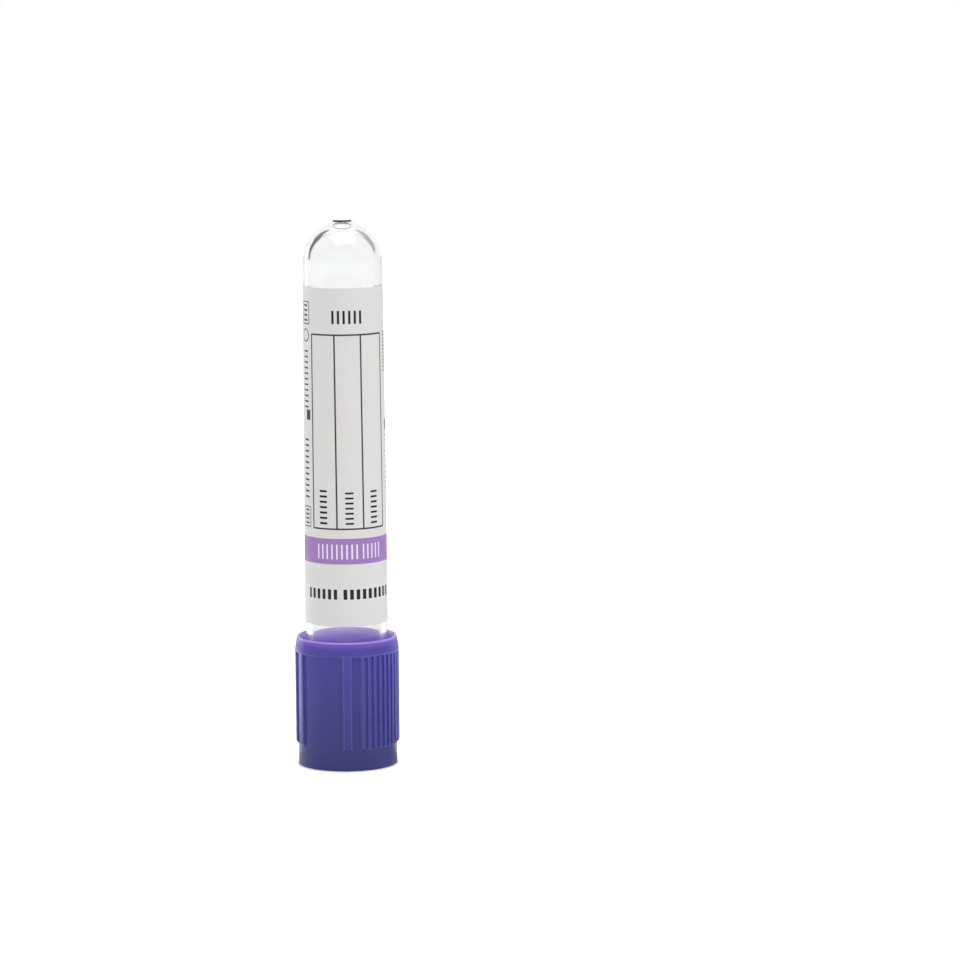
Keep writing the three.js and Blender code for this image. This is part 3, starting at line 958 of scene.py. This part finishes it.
def flags(nodes, x, y, z, aside):
    """How much two grey flags cover of the studio, from 0 to 1, in a direction x, y, z.

    They stand behind, more than about 40 degrees off the way the camera looks: a dark one at the left
    from the horizon upwards, and a lighter one at the right, higher up.
    """
    start = nodes.ramp(x, -0.1, 0.1, 0.0, 0.22)
    rise = nodes.ramp(nodes.math("SUBTRACT", z, start), -0.12, 0.04)
    cover = nodes.math("MULTIPLY", rise, nodes.ramp(z, 0.58, 0.7, 1.0, 0.0))
    inner_side = nodes.ramp(z, 0.05, 0.4, 0.7, 0.86)
    off_axis = nodes.ramp(nodes.math("SUBTRACT", y, inner_side), -0.06, 0.06, 1.0, 0.0)
    cover = nodes.math("MULTIPLY", cover, off_axis)
    behind = nodes.ramp(y, 0.5, 0.58)
    cover = nodes.math("MULTIPLY", cover, behind)
    off_middle = nodes.ramp(aside, 0.14, 0.26)
    cover = nodes.math("MULTIPLY", cover, off_middle)
    return nodes.math("MULTIPLY", cover, nodes.ramp(x, -0.1, 0.1, 0.9, 0.58))


def surroundings():
    """White to the camera, plain light to matt surfaces, and a studio to glossy and clear ones.

    Through the clear plastic the studio is nearly white but for two grey flags: a little darker at the
    sides, and brighter high up. What is mirrored is darker in front than behind.
    """
    world = bpy.data.worlds.new("surroundings")
    bpy.context.scene.world = world
    world.use_nodes = True
    world.node_tree.nodes.clear()
    nodes = Nodes(world.node_tree)
    straight, mirrored, bent = ray_kinds(nodes)
    direction = nodes.add("ShaderNodeTexCoord").outputs["Generated"]
    x, y, z = nodes.add("ShaderNodeSeparateXYZ", {"Vector": direction}).outputs
    aside = nodes.math("ABSOLUTE", x)
    flag = flags(nodes, x, y, z, aside)
    level = nodes.math("MULTIPLY", nodes.ramp(z, 0.42, 0.55, STUDIO_WHITE, 1.15),
                       nodes.ramp(aside, 0.2, 0.7, 1.0, 0.94))
    studio = nodes.mix(flag, level, grey(0.02))
    colour = nodes.mix(bent, grey(AMBIENT), studio)
    colour = nodes.mix(mirrored, colour, nodes.ramp(y, 0.3, 1.0, 0.3, 1.0))
    colour = nodes.mix(straight, colour, grey(1))
    background = nodes.add("ShaderNodeBackground", {"Color": colour, "Strength": 1.0})
    nodes.add("ShaderNodeOutputWorld", {"Surface": background.outputs[0]})


def softbox(name, place, size, power, mirrored):
    """A rectangular lamp turned to the tube. It isn't seen itself, but may be mirrored."""
    lamp = bpy.data.lights.new(name, "AREA")
    lamp.shape = "RECTANGLE"
    lamp.size, lamp.size_y = size
    lamp.energy = power
    holder = bpy.data.objects.new(name, lamp)
    bpy.context.scene.collection.objects.link(holder)
    holder.location = place
    middle = Vector((0, 0, 0.045))
    holder.rotation_euler = (middle - Vector(place)).to_track_quat("-Z", "Y").to_euler()
    holder.visible_camera = False
    holder.visible_transmission = False
    holder.visible_glossy = mirrored


def lamps():
    """A broad lamp overhead, one at each side in front, a tall one behind at the left, one behind."""
    softbox("overhead", (0.05, -0.25, 0.85), (0.9, 0.6), power=3.8, mirrored=True)
    softbox("left_front", (-0.8, -0.45, 0.3), (0.5, 0.6), power=1.5, mirrored=False)
    softbox("right_front", (0.95, -0.35, 0.35), (0.6, 0.6), power=2.9, mirrored=False)
    softbox("left_behind", (-0.6, 0.55, 0.2), (0.2, 0.5), power=0.8, mirrored=True)
    softbox("behind", (0.1, 0.9, 0.35), (0.6, 0.6), power=5.0, mirrored=False)


def camera():
    """The view of the standing tube from the front and a little above, turned to leave it left."""
    distance = 0.63
    height = 0.132
    look_down = math.radians(7.863)
    look_right = math.radians(1.935)
    lean = math.radians(0.4)
    view = bpy.data.cameras.new("camera")
    view.lens = 151.25
    view.sensor_width = 36
    view.clip_start = 0.01
    view.clip_end = 200
    holder = bpy.data.objects.new("camera", view)
    bpy.context.scene.collection.objects.link(holder)
    turn = (Matrix.Rotation(-look_right, 4, "Z") @ Matrix.Rotation(math.pi / 2 - look_down, 4, "X")
            @ Matrix.Rotation(-lean, 4, "Z"))
    holder.matrix_world = Matrix.Translation((0, -distance, height)) @ turn
    bpy.context.scene.camera = holder


clear_tube()
paper_label()
cap_shell()
rubber_stopper()
floor()
surroundings()
lamps()
camera()

bpy.context.scene.view_settings.view_transform = "Standard"
